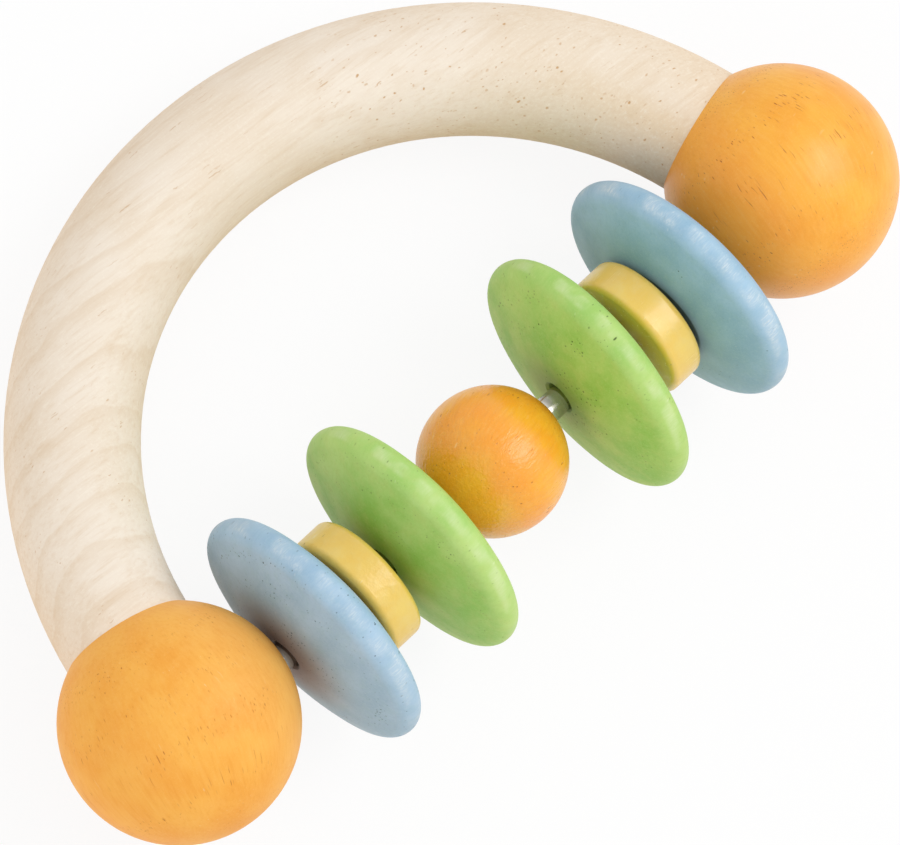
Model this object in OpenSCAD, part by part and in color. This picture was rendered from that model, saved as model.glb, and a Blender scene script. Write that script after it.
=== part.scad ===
// Wooden teether rattle: a half-ring arch with a ball at each end, and a steel rod
// between the balls that carries turned beads which slide and spin.
// It lies as it does on a table: the rod runs along X, the disc rims and the arch rest on z = 0.

/* [End balls] */
// Diameter of the two end balls
ball_d = 25; // [22:0.5:30]

/* [Arch] */
// Diameter of the arch's round bar
bar_d = 14.2; // [11:0.2:17]
// Angle by which the arch's straight ends lean towards each other
end_lean = 13.5; // [8:0.5:18]
// Wood left in a ball between the arch's socket and the rod's hole, where they are nearest
socket_wall = 0.8; // [0.4:0.1:2]

/* [Rod] */
// Diameter of the steel rod
rod_d = 3; // [2.4:0.1:3.6]
// Distance of the rod from the ball centres, on the side away from the arch
rod_offset = 1.6; // [1:0.1:3]
// Angle between the rod and the line through the ball centres
rod_slant = 0.9; // [0:0.1:2]
// Length of rod in a ball past the ball's centre
rod_seat = 6; // [3:0.5:8]
// Bevel on the rod's ends
rod_bevel = 0.3; // [0.1:0.1:0.6]

/* [Discs] */
// Diameter of the four lens-shaped discs
disc_d = 29; // [24:0.5:35]
// Thickness of a disc at its middle
disc_t = 8.4; // [6.5:0.1:10.5]
// Radius of a disc's round rim
rim_r = 1.8; // [1:0.1:2.4]

/* [Washers] */
// Diameter of the two washers
washer_d = 15; // [12:0.5:18]
// Thickness of a washer
washer_t = 4.2; // [3:0.1:5.5]
// Radius of a washer's rounded edges
washer_edge = 0.7; // [0.2:0.1:1]

/* [Centre bead] */
// Diameter of the round bead in the middle
bead_d = 16; // [13:0.5:20]

/* [Fits] */
// Play of a bead's bore on the rod, on the diameter
bore_play = 0.5; // [0.2:0.05:0.8]
// Bevel at the mouths of the bores
bore_bevel = 0.25; // [0.1:0.05:0.5]
// Glue line round the arch's ends and the rod's ends
glue_gap = 0.05; // [0.02:0.01:0.1]
// Clearance where two neighbours lie against each other
touch_gap = 0.08; // [0.05:0.01:0.2]

/* [Gaps at rest] */
// Gap between the left ball and the left blue disc
left_end_gap = 0.4; // [0.1:0.1:2]
// Gap between the left washer and the left green disc
left_gap = 1.8; // [0.5:0.1:4]
// Gap between the centre bead and the right green disc
middle_gap = 2.3; // [0.5:0.1:4]
// Gap between the right green disc and the right washer
right_gap = 1.2; // [0.5:0.1:4]

/* [Lean at rest] */
// Lean of the left blue disc, within its bore's play
left_blue_lean = 1; // [-3:0.1:3]
// Lean of the left green disc
left_green_lean = 0.5; // [-3:0.1:3]
// Lean of the right green disc
right_green_lean = -2.9; // [-3:0.1:3]
// Lean of the right blue disc
right_blue_lean = 2.8; // [-3:0.1:3]

/* [Hidden] */
$fn = 96;

// Colours
bare_wood = [0.93, 0.89, 0.82];
orange = [0.95, 0.65, 0.25];
yellow = [0.90, 0.77, 0.40];
green = [0.55, 0.75, 0.35];
blue = [0.58, 0.72, 0.83];
steel = [0.75, 0.76, 0.78];

// A disc's two faces are arcs of one radius, tangent to the arc of its rim
rim_at = disc_d / 2 - rim_r;
half_t = disc_t / 2;
face_r = (pow(half_t, 2) + pow(rim_at, 2) - pow(rim_r, 2)) / (2 * (half_t - rim_r));
face_end = face_r * rim_at / (face_r - rim_r);

// Beads along the rod: how long each is between the lips of its bore, where the bevels meet its faces.
// A disc that leans reaches further, with the lip or, past it, with its face.
bore_d = rod_d + bore_play;
lip_r = bore_d / 2 + bore_bevel;
disc_length = 2 * (sqrt(pow(face_r, 2) - pow(lip_r, 2)) - face_r + half_t);
function by_lip(lean) = disc_length * cos(lean) + 2 * lip_r * sin(abs(lean));
function by_face(lean) = 2 * face_r - (2 * face_r - disc_t) * cos(lean);
function leaning(lean) = face_r * sin(abs(lean)) < lip_r ? by_lip(lean) : by_face(lean);
bead_length = 2 * sqrt(pow(bead_d / 2, 2) - pow(lip_r, 2));
lengths = [
  leaning(left_blue_lean),
  washer_t,
  leaning(left_green_lean),
  bead_length,
  leaning(right_green_lean),
  washer_t,
  leaning(right_blue_lean)
];
gaps = [left_end_gap, touch_gap, left_gap, touch_gap, middle_gap, right_gap, touch_gap];

// The rod's free span holds every bead and every gap, so the balls stand clear of them
function total(list, i = 0) = i < len(list) ? list[i] + total(list, i + 1) : 0;
function first(list, count) = [for (i = [0:1:count - 1]) list[i]];
free_span = total(lengths) + total(gaps) + touch_gap;
ball_x = (free_span + ball_d) / 2;

// Middle of the bead at a place in the row, counted from the left
function station(i) = total(first(lengths, i)) + total(first(gaps, i + 1)) + lengths[i] / 2 - free_span / 2;

// How far the rod passes from the ball centres: least in the right ball, most in the left
least_offset = rod_offset - ball_x * sin(rod_slant);
most_offset = rod_offset + ball_x * sin(rod_slant);

// The arch's straight ends point at the ball centres and turn into its arc where the bar leaves the ball
mouth = sqrt(pow(ball_d / 2, 2) - pow(bar_d / 2, 2));
arch_r = (ball_x - mouth * sin(end_lean)) / cos(end_lean);
arch_y = mouth * cos(end_lean) - arch_r * sin(end_lean);
// The ends are eased by the glue line, and run on in the arc for a stretch that stays within its bar
run_on = sqrt(arch_r * glue_gap);

// Floor of the arch's sockets, from the ball centre: its low edge stays clear of the rod's hole
low_edge = rod_d / 2 + glue_gap + socket_wall - least_offset;
socket_floor = (low_edge + bar_d / 2 * sin(end_lean)) / cos(end_lean);

// Lying on the table: the arch's outer edge touches z = 0, and so do the discs' rims or, if larger, a ball
reach = rod_offset + arch_y * cos(rod_slant) + arch_r;
lie_on_discs = asin((disc_d - bar_d) / 2 / reach);
lie_on_ball = asin((ball_d - bar_d) / 2 / (reach - most_offset));
lie = max(lie_on_discs, lie_on_ball);
rod_z = bar_d / 2 + reach * sin(lie);
back = max(disc_d / 2, ball_d / 2 - least_offset * cos(lie));
mid_y = (reach * cos(lie) + bar_d / 2 - back) / 2;

// Puts the assembly, drawn flat with the rod on the X axis and the arch towards +Y, as it lies
module lay() {
  translate([0, -mid_y, rod_z]) rotate([-lie, 0, 0]) children();
}

// Puts what is drawn with the ball centres on the X axis beside the rod, at the rod's slant
module beside_rod() {
  lay() translate([0, rod_offset, 0]) rotate([0, 0, -rod_slant]) children();
}

// Puts a piece that was turned about Z on the rod, at a bead's station and lean
module thread(i, lean = 0) {
  lay() translate([station(i), 0, 0]) rotate([0, 90, lean]) children();
}

// Turns a profile, drawn with its axis along Y, and bores it for the rod
module turn(length) {
  rotate_extrude() difference() {
    intersection() {
      children();
      translate([0, -length]) square([disc_d + bead_d, 2 * length]);
    }
    translate([-bore_d / 2, -length]) square([bore_d, 2 * length]);
    for (side = [-1, 1]) translate([0, side * length / 2]) bore_lip();
  }
}

// Bevel that opens a bore, as a diamond across the plane of its lip
module bore_lip() {
  polygon([[-lip_r, 0], [0, lip_r], [lip_r, 0], [0, -lip_r]]);
}

// One face's side of a disc's profile: everything within the arc of that face
module face_side(side) {
  translate([0, side * (half_t - face_r)]) circle(r = face_r, $fn = 360);
}

module disc_profile() {
  intersection() {
    face_side(1);
    face_side(-1);
    translate([0, -half_t]) square([face_end, disc_t]);
  }
  translate([rim_at, 0]) circle(r = rim_r);
}

module washer_profile() {
  flat_r = washer_d / 2 - washer_edge;
  flat_t = washer_t / 2 - washer_edge;
  translate([0, -washer_t / 2]) square([flat_r, washer_t]);
  translate([0, -flat_t]) square([washer_d / 2, 2 * flat_t]);
  for (side = [-1, 1]) translate([flat_r, side * flat_t]) circle(r = washer_edge);
}

module disc(i, lean, paint) {
  color(paint) thread(i, lean) turn(disc_length) disc_profile();
}

module washer(i) {
  color(yellow) thread(i) turn(washer_t) washer_profile();
}

// Puts a cylinder's axis on an arch end, from the ball's centre towards the arch
module along_end(side) {
  translate([side * ball_x, 0, 0]) rotate([0, 0, side * end_lean]) rotate([-90, 0, 0]) children();
}

// The bar's eased ends stand on the floors of the sockets
module arch() {
  color(bare_wood) beside_rod() {
    translate([0, arch_y, 0])
      rotate_extrude(angle = 180 - 2 * end_lean, start = end_lean) translate([arch_r, 0]) circle(d = bar_d);
    for (side = [-1, 1])
      along_end(side) translate([0, 0, socket_floor])
        cylinder(d = bar_d - 2 * glue_gap, h = mouth - socket_floor + run_on);
  }
}

// Half of a ball's section, cut away where the arch's bar goes in
module ball_profile() {
  difference() {
    intersection() {
      circle(d = ball_d);
      translate([0, -ball_d]) square([ball_d, 2 * ball_d]);
    }
    translate([-bar_d / 2, socket_floor]) square([bar_d, ball_d]);
  }
}

// A ball with a blind socket for the arch and a blind hole for the rod
module end_ball(side) {
  color(orange) difference() {
    beside_rod() along_end(side) rotate_extrude() ball_profile();
    lay() rotate([0, side * 90, 0]) cylinder(d = rod_d + 2 * glue_gap, h = ball_x + rod_seat);
  }
}

module left_end_ball() {
  end_ball(-1);
}

module right_end_ball() {
  end_ball(1);
}

// The rod reaches from the floor of one ball's hole to the floor of the other's
module rod() {
  end = ball_x + rod_seat;
  radius = rod_d / 2;
  outline = [
    [0, -end],
    [radius - rod_bevel, -end],
    [radius, rod_bevel - end],
    [radius, end - rod_bevel],
    [radius - rod_bevel, end],
    [0, end]
  ];
  color(steel) lay() rotate([0, 90, 0]) rotate_extrude() polygon(outline);
}

module left_blue_disc() {
  disc(0, left_blue_lean, blue);
}

module left_yellow_washer() {
  washer(1);
}

module left_green_disc() {
  disc(2, left_green_lean, green);
}

module centre_bead() {
  color(orange) thread(3) turn(bead_length) circle(d = bead_d);
}

module right_green_disc() {
  disc(4, right_green_lean, green);
}

module right_yellow_washer() {
  washer(5);
}

module right_blue_disc() {
  disc(6, right_blue_lean, blue);
}

arch();
left_end_ball();
right_end_ball();
rod();
left_blue_disc();
left_yellow_washer();
left_green_disc();
centre_bead();
right_green_disc();
right_yellow_washer();
right_blue_disc();
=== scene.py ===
import math
import bpy
from mathutils import Matrix, Vector

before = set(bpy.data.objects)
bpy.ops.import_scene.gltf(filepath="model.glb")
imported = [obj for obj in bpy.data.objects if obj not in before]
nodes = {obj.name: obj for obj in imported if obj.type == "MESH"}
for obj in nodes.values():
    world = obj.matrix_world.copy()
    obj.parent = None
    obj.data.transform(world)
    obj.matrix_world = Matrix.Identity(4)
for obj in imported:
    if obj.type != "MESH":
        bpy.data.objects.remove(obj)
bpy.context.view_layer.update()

scene = bpy.context.scene
scene.view_settings.view_transform = "Standard"
print("frame loaded:", len(nodes), "pieces")

# Where the rattle lies, repeated from its CAD source (millimetres and degrees)
lying = {
    "lie": 9.54723, "rodY": -18.29892, "rodZ": 14.5,
    "rodOffset": 1.6, "rodSlant": 0.9, "ballX": 44.27743,
}


def linear(r, g, b):  # screen colour to the light that a shader works with
    return tuple(c / 12.92 if c <= 0.04045 else ((c + 0.055) / 1.055) ** 2.4 for c in (r, g, b)) + (1.0,)


def flatPoint(x, y=0.0):  # a point drawn flat beside the rod, put where it lies, in metres
    lie = math.radians(lying["lie"])
    return Vector((x, lying["rodY"] + y * math.cos(lie), lying["rodZ"] - y * math.sin(lie))) / 1000


def ballPoint(side):  # middle of an end ball; the rod is slanted to the line between them
    slant = math.radians(lying["rodSlant"])
    reach = side * lying["ballX"]
    return flatPoint(reach * math.cos(slant), lying["rodOffset"] - reach * math.sin(slant))


class Wire:  # an output socket; sums and products of wires add Math nodes
    def __init__(self, bench, socket):
        self.bench, self.socket = bench, socket

    def math(self, operation, first, second):
        return self.bench.node("ShaderNodeMath", {"operation": operation}, {0: first, 1: second})

    def __add__(self, other): return self.math("ADD", self, other)
    def __radd__(self, other): return self.math("ADD", other, self)
    def __sub__(self, other): return self.math("SUBTRACT", self, other)
    def __rsub__(self, other): return self.math("SUBTRACT", other, self)
    def __mul__(self, other): return self.math("MULTIPLY", self, other)
    def __rmul__(self, other): return self.math("MULTIPLY", other, self)
    def __truediv__(self, other): return self.math("DIVIDE", self, other)
    def __rtruediv__(self, other): return self.math("DIVIDE", other, self)
    def __pow__(self, other): return self.math("POWER", self, other)
    def __rpow__(self, other): return self.math("POWER", other, self)


class Bench:  # the nodes of one material, or of the room
    def __init__(self, tree):
        self.tree = tree
        tree.nodes.clear()

    def node(self, kind, settings=None, inputs=None, output=0):
        made = self.tree.nodes.new(kind)
        for key, value in (settings or {}).items():
            setattr(made, key, value)
        for key, value in (inputs or {}).items():
            if isinstance(value, Wire):
                self.tree.links.new(value.socket, made.inputs[key])
            else:
                made.inputs[key].default_value = value
        return Wire(self, made.outputs[output]) if len(made.outputs) else made

    def outputs(self, wire):  # all outputs of the node that a wire comes from
        return [Wire(self, socket) for socket in wire.socket.node.outputs]

    def blend(self, factor, first, second):  # two colours by a factor
        return self.node("ShaderNodeMix", {"data_type": "RGBA"}, {0: factor, 6: first, 7: second}, 2)

    def layered(self, color, layers):  # a colour under layers, each a share and its colour
        for share, tint in layers:
            color = self.blend(share, color, tint)
        return color

    def smooth(self, value, low, high):  # 0 at low, 1 at high, eased between
        return self.node("ShaderNodeMapRange", {"interpolation_type": "SMOOTHSTEP"},
                         {"Value": value, "From Min": low, "From Max": high})

    def noise(self, vector, scale, detail=1.0, rough=0.5, output=0):
        return self.node("ShaderNodeTexNoise", None,
                         {"Vector": vector, "Scale": scale, "Detail": detail, "Roughness": rough}, output)

    def moved(self, vector, turn=(0, 0, 0), scale=(1, 1, 1), shift=(0, 0, 0)):
        return self.node("ShaderNodeMapping", None,
                         {"Vector": vector, "Rotation": turn, "Scale": scale, "Location": shift})

    def drawn(self, vector, share):  # noise on this is drawn out along X
        return self.moved(vector, scale=(share, 1, 1))

    def swayed(self, vector, scale, amount):  # pushed about by noise, so that drawn shapes come out uneven
        push = self.noise(vector, scale, output=1)
        return self.node("ShaderNodeVectorMath", {"operation": "MULTIPLY_ADD"},
                         {0: push, 1: (amount,) * 3, 2: vector})

    def parts(self, vector):  # X, Y and Z of a vector
        return self.outputs(self.node("ShaderNodeSeparateXYZ", None, {0: vector}))

    def millimetres(self, centre, lean=0.0):  # the piece's axes: X along the rod, Z up out of the arch's plane
        where = self.node("ShaderNodeTexCoord", output="Object")
        off = self.node("ShaderNodeVectorMath", {"operation": "SUBTRACT"}, {0: where, 1: centre})
        return self.moved(off, (math.radians(lying["lie"]), 0, math.radians(-lean)), (1000, 1000, 1000))

    def grainOf(self, local, grain, shift):  # axes with X along the grain, given as turn and rise in degrees
        turn, rise = (math.radians(a) for a in grain)
        aim = Vector((math.cos(turn) * math.cos(rise), math.sin(turn) * math.cos(rise), math.sin(rise)))
        return self.moved(local, aim.rotation_difference(Vector((1, 0, 0))).to_euler(), (1, 1, 1), shift)

    def pores(self, grain, long, across, share, size):
        # Open vessels: of cells drawn out along the grain a share holds an ellipsoid, each of its own size and depth
        smallest, spread, core, faintest, doubt = 0.5, 0.8, 0.4, 0.3, 0.02
        cells = self.moved(grain, scale=(1 / long, 1 / across, 1 / across))
        near = self.node("ShaderNodeTexVoronoi", None, {"Vector": cells, "Scale": 1.0})
        split = self.node("ShaderNodeSeparateColor", None, {0: self.outputs(near)[1]})
        chosen, large, deep = self.outputs(split)[:3]
        shape = self.smooth(near / (smallest + spread * large), size, size * core)
        return shape * self.smooth(chosen, share + doubt, share - doubt) * (faintest + (1 - faintest) * deep)

    def finish(self, color, rough, height, bump, fixed):
        strength, depth = bump  # depth in millimetres
        normal = self.node("ShaderNodeBump", None,
                           {"Strength": strength, "Distance": depth / 1000, "Height": height})
        varied = {"Base Color": color, "Roughness": rough, "Normal": normal}
        surface = self.node("ShaderNodeBsdfPrincipled", None, dict(varied, **fixed))
        self.node("ShaderNodeOutputMaterial", None, {"Surface": surface})


def newBench(name):
    material = bpy.data.materials.new(name)
    material.use_nodes = True
    return material, Bench(material.node_tree)


def wear(piece, material):
    slots = nodes[piece].material_slots
    if not slots:
        nodes[piece].data.materials.append(material)
    for slot in slots:
        slot.material = material


def stainedWood(name, look, centre):
    # Stain over wood: blotches and fibres tint it, open pores darken it, and crests are rubbed paler in hairs
    # along the grain. Painted shade darkens it round the bore and under a washer, a pale rim band is partly wear
    # and partly a painted highlight, and a side tint paints light and shade towards the rattle's middle
    material, bench = newBench(name)
    local = bench.millimetres(centre, look["lean"])
    x, y, z = bench.parts(local)
    away = (y * y + z * z) ** 0.5  # distance from the rod's axis
    inward = x * look["inward"]
    grain = bench.grainOf(local, look["grain"], look["shift"])
    gx, gy, gz = bench.parts(grain)
    bow = 1.0 + gx * gx * look["bow"]  # bends the grain along a ball
    bowed = bench.node("ShaderNodeCombineXYZ", None, {0: gx, 1: gy * bow, 2: gz * bow})
    fibre = bench.noise(bench.drawn(bowed, look["fibreDrawn"]), *look["fibreNoise"])
    blotch = bench.noise(local, *look["blotchNoise"])
    cloud = bench.noise(bench.moved(local, shift=look["shift"]), *look["cloudNoise"])
    speckle = bench.noise(local, *look["speckleNoise"])
    fewer, most, least = look["crowd"]
    crowd = least + (1.0 - least) * bench.smooth(bench.noise(grain, *look["crowdNoise"]), fewer, most)
    pore = bench.pores(bench.swayed(bowed, *look["sway"]), *look["pore"]) * crowd
    scuffed = bench.grainOf(bench.swayed(local, *look["scuffSway"]), look["scuffGrain"], look["scuffShift"])
    scuff = bench.pores(scuffed, *look["scuff"])
    hairs = bench.noise(bench.drawn(local, look["hairDrawn"]), *look["hairNoise"])
    hair = 1.0 - look["hair"] + look["hair"] * bench.smooth(hairs, *look["hairFrom"])
    rubbed = bench.smooth(bench.noise(local, *look["rubNoise"]), *look["rubFrom"])
    crest = bench.smooth(away, *look["rim"])
    edge = crest * bench.smooth(x * x, look["edge"] ** 2, 0.0) * rubbed * hair
    # painted shade: darker round the bore, where the neighbouring pieces shade the piece
    hubShade = bench.smooth(away, *look["hubShade"])
    # painted shadow: dark where a washer lies against the piece
    seatShadow = bench.smooth(away, *look["seatShadow"]) * bench.smooth(inward, *look["seatShadowSide"])  # shadow under a washer

    stain = bench.blend(bench.smooth(blotch, *look["blotchFrom"]), look["deep"], look["pale"])
    color = bench.layered(stain, [
        (bench.smooth(cloud, *look["cloudFrom"]) * look["cloudTint"], look["cloud"]),
        # painted light and shade on the side towards the rattle's middle
        (bench.smooth(inward, *look["innerShadingFrom"]) * look["innerShadingTint"], look["innerShading"]),
        (bench.smooth(fibre, *look["darkFrom"]) * look["fibreTint"], look["dark"]),
        (bench.smooth(fibre, *look["wornFrom"]) * look["fibreTint"] * look["wornShare"], look["worn"]),
        (bench.smooth(speckle, *look["speckleFrom"]) * look["speckle"], look["worn"]),
        # painted shade round the bore
        (hubShade * look["hubShadeTint"], look["hubShadeColor"]),
        # painted shadow under a washer
        (seatShadow * look["seatShadowTint"], look["poreColor"]),
        # pale rim band: partly rubbed wear, partly a painted highlight
        (crest * look["crestWearAndSheenTint"], look["worn"]),
        (edge * look["edgeTint"], look["bare"]),
        (scuff * look["scuffTint"], look["bare"]),
        (pore * look["poreTint"], look["poreColor"]),
    ])
    fibreRough, poreRough, edgeRough = look["roughBy"]
    rough = look["rough"] + (fibre - 0.5) * fibreRough + pore * poreRough + edge * edgeRough
    fibreRise, cloudRise = look["relief"]
    speckleRise, poreDepth = look["fineRelief"]
    height = fibre * fibreRise + cloud * cloudRise + speckle * speckleRise - pore * poreDepth
    bench.finish(color, rough, height, look["bump"], {"Specular IOR Level": look["shine"]})
    return material


print("stains")
stainBase = {
    # lean on the rod in degrees; inward is 1 if the rattle's middle is to the right of the piece, and -1 if to the left
    "lean": 0.0, "inward": 1.0, "grain": (3, -2), "shift": (0, 0, 0), "bow": 0.0, "sway": (2.0, 0.12),
    # noises as patches per mm, detail and roughness, and the values at which each starts to show and is full
    "fibreNoise": (2.6, 2.0, 0.6), "fibreDrawn": 0.10,
    "darkFrom": (0.48, 0.75), "wornFrom": (0.50, 0.28), "wornShare": 0.7,
    "blotchNoise": (0.17, 2.0, 0.55), "blotchFrom": (0.30, 0.70),
    "cloudNoise": (0.75, 3.0, 0.6), "cloudFrom": (0.42, 0.70),
    "speckleNoise": (5.5, 2.0, 0.65), "speckleFrom": (0.50, 0.78),
    "rubNoise": (0.30, 2.0, 0.5), "rubFrom": (0.35, 0.65),
    "hairNoise": (6.0, 2.0, 0.6), "hairDrawn": 0.12, "hairFrom": (0.42, 0.66), "hair": 0.65,
    # pores and scuffs as cell length and width in mm, share of cells, size in a cell; crowd thins the pores out
    "pore": (1.1, 0.38, 0.14, 0.28), "crowdNoise": (0.16, 1.0, 0.5), "crowd": (0.42, 0.60, 0.25),
    "scuff": (2.4, 0.45, 0.02, 0.30), "scuffGrain": (7, 0), "scuffSway": (0.5, 0.8), "scuffShift": (3, 2, 5),
    # zones in mm: rim, painted hub shade and painted seat shadow by the distance from the rod, the others along it
    "rim": (12.6, 14.3), "edge": 1.5, "hubShade": (4.5, 1.9), "seatShadow": (6.2, 5.85), "seatShadowSide": (0.0, 1.0),
    # painted shade by default: a deeper orange on the side towards the middle
    "innerShadingFrom": (0.0, 11.0), "innerShading": linear(1.0, 0.59, 0.16),
    # how strong each layer is
    "cloudTint": 0.25, "innerShadingTint": 0.0, "fibreTint": 0.14, "speckle": 0.32, "hubShadeTint": 0.0, "seatShadowTint": 0.0,
    "crestWearAndSheenTint": 0.0, "edgeTint": 0.0, "scuffTint": 0.40, "poreTint": 0.85,
    # roughness, and what fibres, pores and edges add to it; relief of fibres and clouds, speckle and pores
    "rough": 0.50, "roughBy": (0.14, 0.25, 0.10), "relief": (0.18, 0.10), "fineRelief": (0.05, 0.5),
    "bump": (0.7, 0.12), "shine": 0.32,
}
orangeStain = dict(
    stainBase, deep=linear(0.968, 0.662, 0.228), pale=linear(0.988, 0.720, 0.295), cloud=linear(0.985, 0.715, 0.350),
    dark=linear(0.91, 0.57, 0.14), worn=linear(1.0, 0.78, 0.40), bare=linear(1.0, 0.87, 0.64),
    hubShadeColor=linear(0.60, 0.34, 0.10), poreColor=linear(0.66, 0.31, 0.07),
    bow=0.0021, sway=(0.5, 0.5), pore=(5.0, 0.25, 0.40, 0.27), fibreTint=0.22, cloudTint=0.16, scuffTint=0.65)
greenStain = dict(
    stainBase, deep=linear(0.565, 0.785, 0.325), pale=linear(0.700, 0.850, 0.440), cloud=linear(0.74, 0.83, 0.45),
    dark=linear(0.52, 0.71, 0.27), worn=linear(0.78, 0.89, 0.58), bare=linear(0.89, 0.94, 0.76),
    hubShadeColor=linear(0.46, 0.52, 0.20), poreColor=linear(0.18, 0.26, 0.06),
    hubShade=(7.0, 1.9), hubShadeTint=0.40, edge=0.9, edgeTint=0.50, hair=0.25, crestWearAndSheenTint=0.24, cloudTint=0.35)
blueStain = dict(
    stainBase, deep=linear(0.540, 0.705, 0.812), pale=linear(0.630, 0.778, 0.883), cloud=linear(0.60, 0.75, 0.80),
    dark=linear(0.48, 0.62, 0.72), worn=linear(0.72, 0.83, 0.90), bare=linear(0.90, 0.93, 0.94),
    hubShadeColor=linear(0.44, 0.47, 0.46), poreColor=linear(0.20, 0.27, 0.32),
    hubShade=(6.0, 1.9), hubShadeTint=0.30, edge=1.2, edgeTint=0.55, crestWearAndSheenTint=0.25)
yellowStain = dict(
    stainBase, deep=linear(0.980, 0.800, 0.345), pale=linear(0.995, 0.855, 0.430), cloud=linear(0.98, 0.86, 0.55),
    dark=linear(0.88, 0.72, 0.30), worn=linear(0.99, 0.90, 0.60), bare=linear(1.0, 0.95, 0.78),
    hubShadeColor=linear(0.50, 0.42, 0.18), poreColor=linear(0.50, 0.36, 0.10),
    hubShade=(3.4, 1.8), hubShadeTint=0.5, pore=(1.4, 0.40, 0.08, 0.24), scuff=(1.8, 0.50, 0.03, 0.32), scuffTint=0.50,
    fibreTint=0.06, speckle=0.12, rough=0.25, relief=(0.05, 0.45), shine=0.80)

# One dictionary for each stained piece; place is where it sits along the rod, in mm
leftEndBall = dict(
    orangeStain, grain=(-100, -17), shift=(4, 2, 7), crowd=(0.38, 0.60, 0.40), poreTint=0.65,
    # painted light: paler on the left ball's side towards the key light
    innerShading=linear(0.995, 0.775, 0.450), innerShadingTint=0.35,
    scuffGrain=(-100, -17), scuff=(3.0, 0.35, 0.05, 0.26), scuffTint=0.45, rough=0.52, shine=0.45)
wear("left_end_ball", stainedWood("leftEndBall", leftEndBall, ballPoint(-1)))

rightEndBall = dict(
    orangeStain, deep=linear(0.970, 0.656, 0.160), pale=linear(0.990, 0.715, 0.225), grain=(-94, -9), shift=(1, 9, 3),
    crowd=(0.32, 0.56, 0.45), pore=(5.0, 0.25, 0.46, 0.28), poreTint=0.95, scuff=(2.6, 0.50, 0.035, 0.32),
    # painted shade: deeper orange on the right ball's side towards the discs
    inward=-1.0, innerShadingTint=0.50, rough=0.36, shine=0.58)
wear("right_end_ball", stainedWood("rightEndBall", rightEndBall, ballPoint(1)))

centreBead = dict(
    orangeStain, place=-0.787, deep=linear(1.0, 0.636, 0.090), pale=linear(1.0, 0.712, 0.145),
    grain=(12, -20), shift=(2, 5, 1), bow=0.0, sway=(2.0, 0.12), pore=(1.6, 0.34, 0.20, 0.27),
    crowd=(0.36, 0.58, 0.40), hubShade=(2.6, 1.8), hubShadeTint=0.6,
    rough=0.30, relief=(0.60, 0.10), bump=(0.9, 0.16), shine=0.75)
wear("centre_bead", stainedWood("centreBead", centreBead, flatPoint(centreBead["place"])))

leftBlueDisc = dict(
    blueStain, place=-27.198, lean=1.0, deep=linear(0.590, 0.728, 0.832), pale=linear(0.668, 0.792, 0.890),
    shift=(3, 8, 1), crowd=(0.32, 0.50, 0.30), pore=(1.1, 0.36, 0.26, 0.30), crestWearAndSheenTint=0.12,
    hubShadeColor=linear(0.60, 0.45, 0.34), hubShade=(9.5, 2.0), hubShadeTint=0.66)  # brown, for the shade beside the ball
wear("left_blue_disc", stainedWood("leftBlueDisc", leftBlueDisc, flatPoint(leftBlueDisc["place"])))

rightBlueDisc = dict(
    blueStain, place=27.459, lean=2.8, shift=(11, 2, 6), crowd=(0.50, 0.68, 0.15), crestWearAndSheenTint=0.18, edgeTint=0.70,
    # painted shadow under its washer
    inward=-1.0, seatShadowTint=0.85)
wear("right_blue_disc", stainedWood("rightBlueDisc", rightBlueDisc, flatPoint(rightBlueDisc["place"])))

leftGreenDisc = dict(
    greenStain, place=-12.776, lean=0.5, deep=linear(0.595, 0.805, 0.355), pale=linear(0.735, 0.872, 0.490),
    shift=(5, 1, 12), crowd=(0.36, 0.56, 0.30), pore=(1.1, 0.34, 0.26, 0.26), poreTint=0.65, hubShadeTint=0.15)
wear("left_green_disc", stainedWood("leftGreenDisc", leftGreenDisc, flatPoint(leftGreenDisc["place"])))

rightGreenDisc = dict(
    greenStain, place=13.5, lean=-2.9, shift=(2, 13, 4), crowd=(0.40, 0.56, 0.15), pore=(1.1, 0.40, 0.28, 0.31))
wear("right_green_disc", stainedWood("rightGreenDisc", rightGreenDisc, flatPoint(rightGreenDisc["place"])))

leftYellowWasher = dict(yellowStain, place=-20.838, shift=(7, 3, 2), rough=0.32, bump=(0.8, 0.25))
wear("left_yellow_washer", stainedWood("leftYellowWasher", leftYellowWasher, flatPoint(leftYellowWasher["place"])))

rightYellowWasher = dict(yellowStain, place=21.041, shift=(1, 6, 9))
wear("right_yellow_washer", stainedWood("rightYellowWasher", rightYellowWasher, flatPoint(rightYellowWasher["place"])))

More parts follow.
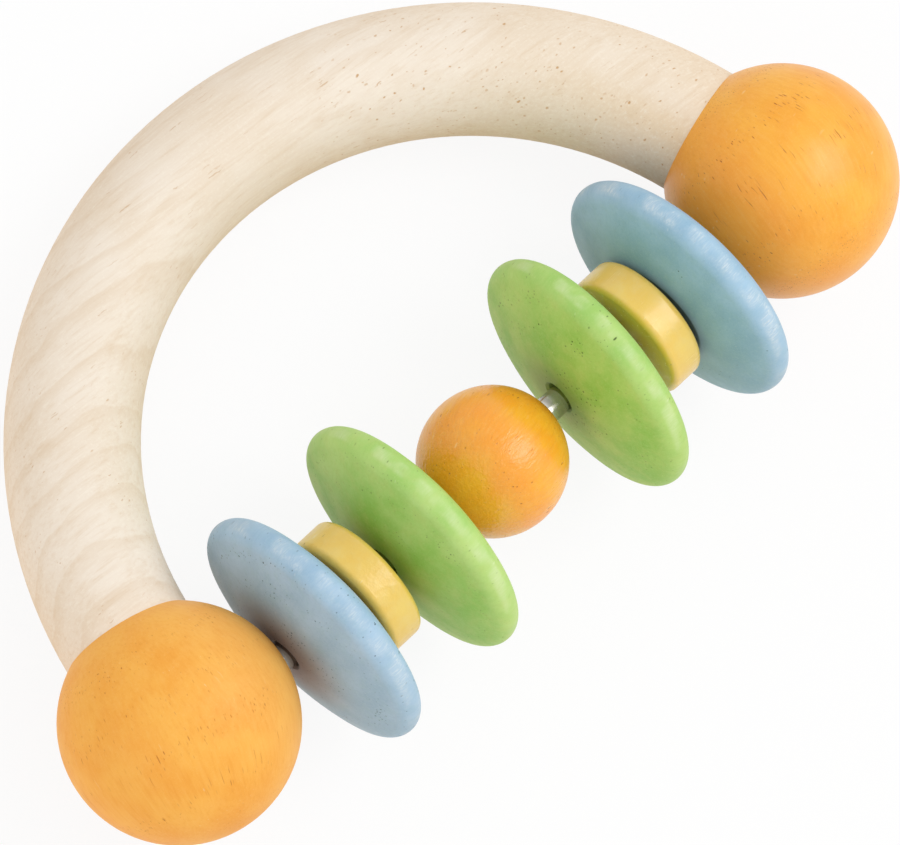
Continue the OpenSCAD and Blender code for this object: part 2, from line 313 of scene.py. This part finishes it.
archWood = {
    "grain": (-5, 0), "archRadius": 44.0,  # degrees from the rod; middle of the bar, in mm
    # growth rings: where the tree's heart was across the grain, and how far apart they are and wander, in mm
    "heart": (-34.0, 24.0), "ringGap": 4.2, "wander": 7.0, "wanderNoise": (0.10, 3.0, 0.55), "wanderDrawn": 0.4,
    "lateFrom": (0.52, 0.93), "lateTo": (1.0, 0.93),  # latewood rises slowly and ends sharply
    "ringTint": 0.22, "ringedSlope": 0.006, "ringedFrom": (0.38, 0.70), "leastRing": 0.2,
    # noises as patches per mm, detail and roughness, and the values at which each starts to show and is full
    "cream": linear(0.960, 0.915, 0.855), "creamDeep": linear(0.940, 0.882, 0.805),
    "blotchNoise": (0.09, 2.0, 0.5), "blotchFrom": (0.32, 0.68), "patchNoise": (0.08, 1.0, 0.5),
    "pale": linear(0.985, 0.950, 0.890), "dustNoise": (3.0, 2.0, 0.65), "dustFrom": (0.48, 0.80), "dustTint": 0.45,
    "streak": linear(0.850, 0.735, 0.585), "streakNoise": (0.85, 2.0, 0.6), "streakDrawn": 0.10,
    "streakFrom": (0.52, 0.72), "streakTint": 0.16,
    "fibreNoise": (2.6, 3.0, 0.65), "fibreDrawn": 0.07,
    "darkFrom": (0.48, 0.78), "darkTint": 0.26, "lightFrom": (0.46, 0.25), "lightTint": 0.40,
    # vessels and holes as cell length and width in mm, share of cells, size in a cell
    "pit": linear(0.79, 0.60, 0.37), "vessel": (5.0, 0.36, 0.20, 0.24), "vesselTint": 0.55, "sway": (1.6, 0.35),
    "hole": (1.0, 0.60, 0.55, 0.23), "holeTint": 0.85, "holeShift": (5, 3, 8), "leastHole": 0.06,
    "pittedBy": (0.4, 0.02, 0.03), "pittedFrom": (0.50, 0.72),
    # painted shade, in mm: tan at the right end and below, and a tint for the shade on the inner flank there
    "shadeTan": linear(0.905, 0.812, 0.662), "shadeTanFrom": (20, 43), "shadeTanTint": 0.22, "underShade": (3.0, -6.0), "underShadeTint": 0.65,
    "shade": linear(0.915, 0.805, 0.640), "shadeFrom": (30, 42), "flank": (2.0, 6.0),
    # roughness, and what fibres and holes add to it; relief of fibres and dust, depth of vessels and holes
    "rough": 0.62, "roughBy": (0.16, 0.2), "relief": (0.14, 0.07), "depth": (0.3, 0.5),
    "bump": (0.6, 0.12), "shine": 0.25,
}


def bareWood(name, look):
    # Sanded bare wood: growth rings about an axis beside the arch cut its bar in arcs; vessels lie along the
    # grain, so they show as strokes on its flanks and as dots on its ends
    material, bench = newBench(name)
    local = bench.millimetres(flatPoint(0, lying["rodOffset"]), -lying["rodSlant"])
    grain = bench.grainOf(local, look["grain"], (0, 0, 0))
    along, across, up = bench.parts(local)
    gy, gz = bench.parts(grain)[1:]
    meander = bench.noise(bench.drawn(grain, look["wanderDrawn"]), *look["wanderNoise"])
    heartY, heartZ = look["heart"]
    ringAway = ((gy - heartY) ** 2.0 + (gz - heartZ) ** 2.0) ** 0.5 + meander * look["wander"]
    phase = bench.node("ShaderNodeMath", {"operation": "FRACT"}, {0: ringAway / look["ringGap"]})
    late = bench.smooth(phase, *look["lateFrom"]) * bench.smooth(phase, *look["lateTo"])
    fibre = bench.noise(bench.drawn(grain, look["fibreDrawn"]), *look["fibreNoise"])
    streaked = bench.noise(bench.drawn(grain, look["streakDrawn"]), *look["streakNoise"])
    blotch = bench.noise(local, *look["blotchNoise"])
    dust = bench.noise(local, *look["dustNoise"])
    patch = bench.noise(local, *look["patchNoise"])
    inside = look["archRadius"] - (along * along + across * across) ** 0.5
    ringed = bench.smooth(patch - along * look["ringedSlope"], *look["ringedFrom"])  # more arcs towards the left ball
    byPatch, byLength, byInside = look["pittedBy"]  # more holes inside the arch and towards the right ball
    pitted = bench.smooth(patch * byPatch + along * byLength + inside * byInside, *look["pittedFrom"])
    uneven = bench.swayed(grain, *look["sway"])
    vessel = bench.pores(uneven, *look["vessel"])
    fewest = look["leastHole"]
    hole = bench.pores(bench.moved(uneven, shift=look["holeShift"]), *look["hole"]) * (fewest + (1 - fewest) * pitted)

    weakest = look["leastRing"]
    cream = bench.blend(bench.smooth(blotch, *look["blotchFrom"]), look["creamDeep"], look["cream"])
    color = bench.layered(cream, [
        # painted shade: tan at the right end, below, and on the inner flank beside the right ball
        (bench.smooth(along, *look["shadeTanFrom"]) * look["shadeTanTint"], look["shadeTan"]),
        (bench.smooth(up, *look["underShade"]) * look["underShadeTint"], look["shadeTan"]),
        (bench.smooth(along, *look["shadeFrom"]) * bench.smooth(inside, *look["flank"]), look["shade"]),
        (bench.smooth(dust, *look["dustFrom"]) * look["dustTint"], look["pale"]),
        (late * look["ringTint"] * (weakest + (1 - weakest) * ringed), look["streak"]),
        (bench.smooth(streaked, *look["streakFrom"]) * look["streakTint"], look["streak"]),
        (bench.smooth(fibre, *look["darkFrom"]) * look["darkTint"], look["streak"]),
        (bench.smooth(fibre, *look["lightFrom"]) * look["lightTint"], look["pale"]),
        (vessel * look["vesselTint"], look["pit"]),
        (hole * look["holeTint"], look["pit"]),
    ])
    fibreRough, holeRough = look["roughBy"]
    rough = look["rough"] + (fibre - 0.5) * fibreRough + hole * holeRough
    fibreRise, dustRise = look["relief"]
    vesselDepth, holeDepth = look["depth"]
    height = fibre * fibreRise + dust * dustRise - vessel * vesselDepth - hole * holeDepth
    bench.finish(color, rough, height, look["bump"], {"Specular IOR Level": look["shine"]})
    return material


wear("arch", bareWood("archWood", archWood))

rodSteel = {
    "color": linear(0.80, 0.79, 0.76), "dull": linear(0.46, 0.43, 0.38), "dullFrom": (0.35, 0.70), "dullTint": 0.5,
    "lineNoise": (9.0, 2.0, 0.6), "lineDrawn": 0.05, "bandNoise": (1.1, 2.0, 0.5), "bandScale": (1, 0.1, 0.1),
    "rough": 0.09, "lineRough": 0.10, "bandFrom": (0.45, 0.7), "bandRough": 0.08, "bump": (0.25, 0.02),
}


def drawnSteel(name, look):
    # Bright drawn rod: fine lines along it, and rubbed bands where beads run
    material, bench = newBench(name)
    local = bench.millimetres(flatPoint(0))
    lines = bench.noise(bench.drawn(local, look["lineDrawn"]), *look["lineNoise"])
    bands = bench.noise(bench.moved(local, scale=look["bandScale"]), *look["bandNoise"])
    color = bench.blend(bench.smooth(bands, *look["dullFrom"]) * look["dullTint"], look["color"], look["dull"])
    worn = bench.smooth(bands, *look["bandFrom"])
    rough = look["rough"] + (lines - 0.5) * look["lineRough"] + worn * look["bandRough"]
    bench.finish(color, rough, lines, look["bump"], {"Metallic": 1.0})
    return material


wear("rod", drawnSteel("rodSteel", rodSteel))
print("looks on all pieces")

# Camera at the photograph's viewing angle, for a frame of 900 by 845
view = {
    "location": (-0.207727, -0.042979, 0.642922), "target": (-0.001196, -0.012317, 0.0145),
    "roll": 38.324, "lens": 254.956, "sensor": 36.0, "clip": (0.01, 50.0),
}
camera = bpy.data.objects.new("camera", bpy.data.cameras.new("camera"))
scene.collection.objects.link(camera)
location, target = Vector(view["location"]), Vector(view["target"])
aim = (target - location).to_track_quat("-Z", "Y").to_matrix()
turnedAim = aim @ Matrix.Rotation(math.radians(view["roll"]), 3, "Z")
camera.matrix_world = Matrix.Translation(location) @ turnedAim.to_4x4()
camera.data.lens, camera.data.sensor_width, camera.data.sensor_fit = view["lens"], view["sensor"], "HORIZONTAL"
camera.data.clip_start, camera.data.clip_end = view["clip"]
scene.camera = camera

# Soft studio light: a square softbox at the right of the picture, a weak fill at its left, and pale walls all round
lamps = {
    "key": {"right": 0.69, "up": 0.285, "near": 0.667, "away": 0.60,
            "size": 0.36, "power": 1.30, "color": (1.0, 1.0, 1.0)},
    "fill": {"right": -0.55, "up": -0.50, "near": 0.60, "away": 0.70,
             "size": 0.50, "power": 0.55, "color": (1.0, 0.88, 0.76)},
}
for name, lamp in lamps.items():
    light = bpy.data.lights.new(name, "AREA")
    light.shape, light.size, light.energy, light.color = "SQUARE", lamp["size"], lamp["power"], lamp["color"]
    holder = bpy.data.objects.new(name, light)
    scene.collection.objects.link(holder)
    direction = (turnedAim @ Vector((lamp["right"], lamp["up"], lamp["near"]))).normalized()
    holder.location = target + direction * lamp["away"]
    holder.rotation_euler = (-direction).to_track_quat("-Z", "Y").to_euler()


def directRays(bench):  # 1 for rays that a viewer sees straight, mirrored or through something, 0 for scattered light
    path = bench.node("ShaderNodeLightPath").socket.node
    seen = [Wire(bench, path.outputs[kind]) for kind in ("Is Camera Ray", "Is Glossy Ray", "Is Transmission Ray")]
    return bench.node("ShaderNodeClamp", None, {"Value": seen[0] + seen[1] + seen[2]})


room = {"light": 0.74, "seen": 1.0}
world = bpy.data.worlds.new("room")
scene.world = world
world.use_nodes = True
bench = Bench(world.node_tree)
strength = room["light"] + directRays(bench) * (room["seen"] - room["light"])
walls = bench.node("ShaderNodeBackground", None, {"Color": (1, 1, 1, 1), "Strength": strength})
bench.node("ShaderNodeOutputWorld", None, {"Surface": walls})

floorLook = {"half": 1.5, "color": (0.97, 0.83, 0.68, 1.0), "seenColor": (0.92, 0.92, 0.92, 1.0), "seenShare": 0.90}
half = floorLook["half"]
floorMesh = bpy.data.meshes.new("floor")
floorMesh.from_pydata([(-half, -half, 0), (half, -half, 0), (half, half, 0), (-half, half, 0)], [], [(0, 1, 2, 3)])
floor = bpy.data.objects.new("floor", floorMesh)
scene.collection.objects.link(floor)
floorMaterial, bench = newBench("floorWhite")
seen = directRays(bench)
floorColor = bench.blend(seen, floorLook["color"], floorLook["seenColor"])
plain = bench.node("ShaderNodeBsdfDiffuse", None, {"Color": floorColor})
bright = bench.node("ShaderNodeEmission", None, {"Color": (1, 1, 1, 1), "Strength": 1.0})
shown = bench.node("ShaderNodeMixShader", None, {0: seen * floorLook["seenShare"], 1: plain, 2: bright})
bench.node("ShaderNodeOutputMaterial", None, {"Surface": shown})
floorMesh.materials.append(floorMaterial)
print("camera, light and floor")
